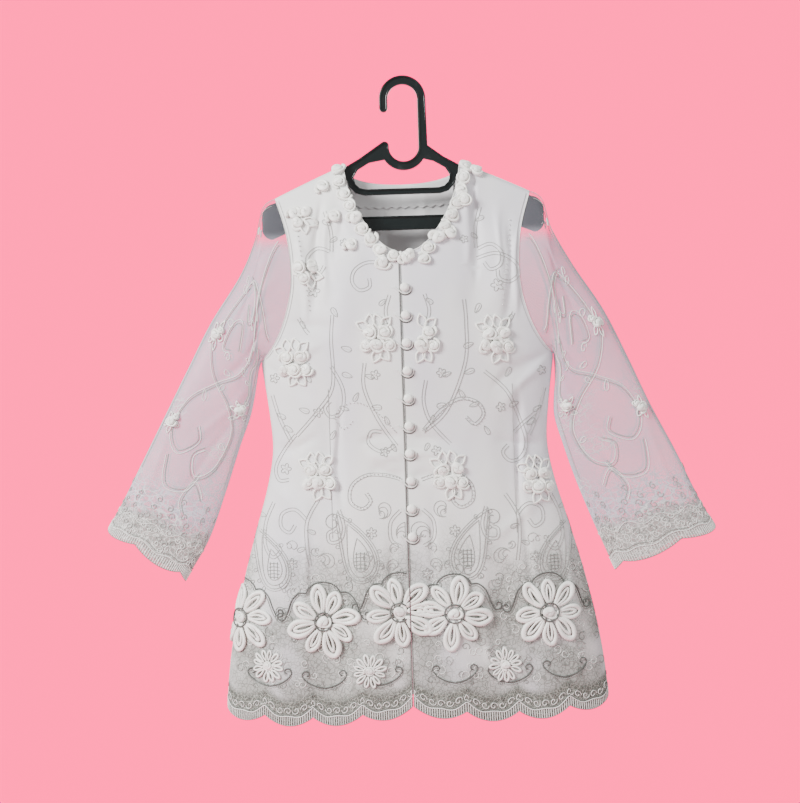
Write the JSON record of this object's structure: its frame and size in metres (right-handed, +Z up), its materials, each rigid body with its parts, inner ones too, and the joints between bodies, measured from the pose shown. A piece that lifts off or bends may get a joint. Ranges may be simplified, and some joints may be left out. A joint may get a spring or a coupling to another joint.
{
  "type": "kebaya blouse on a hanger",
  "caption": "Hip-length long-sleeved kebaya blouse in embroidered white organza over a lining, with applied ribbon flowers and a scalloped hem, on a flat plastic hanger.",
  "frame": {"origin": "inside top of the hanger's hook, where it sits on a rail", "axes": "+Z up along the hanging blouse; -Y out of the blouse's front; +X towards the wearer's left sleeve"},
  "size_m": [0.8588, 0.1273, 0.9091],
  "materials": {
    "cloth": "off-white embroidered organza over a satin lining",
    "organza": "sheer white embroidered organza, unlined",
    "trim": "satin ribbon flowers, rosettes and covered buttons",
    "plastic": "glossy black moulded plastic"
  },
  "bodies": {
    "root": {"front_right": "cloth", "front_left": "cloth", "back": "cloth", "back_neck_facing": "cloth", "sleeve_right": "organza", "sleeve_left": "organza", "hanger": "plastic", "neck_rosettes_right": "trim", "neck_rosettes_left": "trim", "chest_cluster_right": "trim", "side_cluster_right": "trim", "waist_cluster_right": "trim", "chest_cluster_left": "trim", "side_cluster_left": "trim", "waist_cluster_left_inner": "trim", "waist_cluster_left_outer": "trim", "back_waist_cluster_left": "trim", "back_waist_cluster_right": "trim", "back_chest_cluster_left": "trim", "back_chest_cluster_right": "trim", "shoulder_cluster_right": "trim", "armhole_cluster_right": "trim", "flower_side_right": "trim", "flower_front_right": "trim", "flower_opening_right": "trim", "flower_front_left": "trim", "flower_side_left": "trim", "flower_back_a": "trim", "flower_back_b": "trim", "flower_back_c": "trim", "small_flower_right_outer": "trim", "small_flower_right_inner": "trim", "small_flower_left": "trim", "small_flower_back_a": "trim", "small_flower_back_b": "trim", "sleeve_bud_right_upper": "trim", "sleeve_bud_right_outer": "trim", "sleeve_bud_right_inner": "trim", "sleeve_bud_left_upper": "trim", "sleeve_bud_left_outer": "trim", "sleeve_bud_left_inner": "trim", "button_1": "trim", "button_2": "trim", "button_3": "trim", "button_4": "trim", "button_5": "trim", "button_6": "trim", "button_7": "trim", "button_8": "trim", "button_9": "trim", "button_10": "trim"}
  },
  "joints": []
}
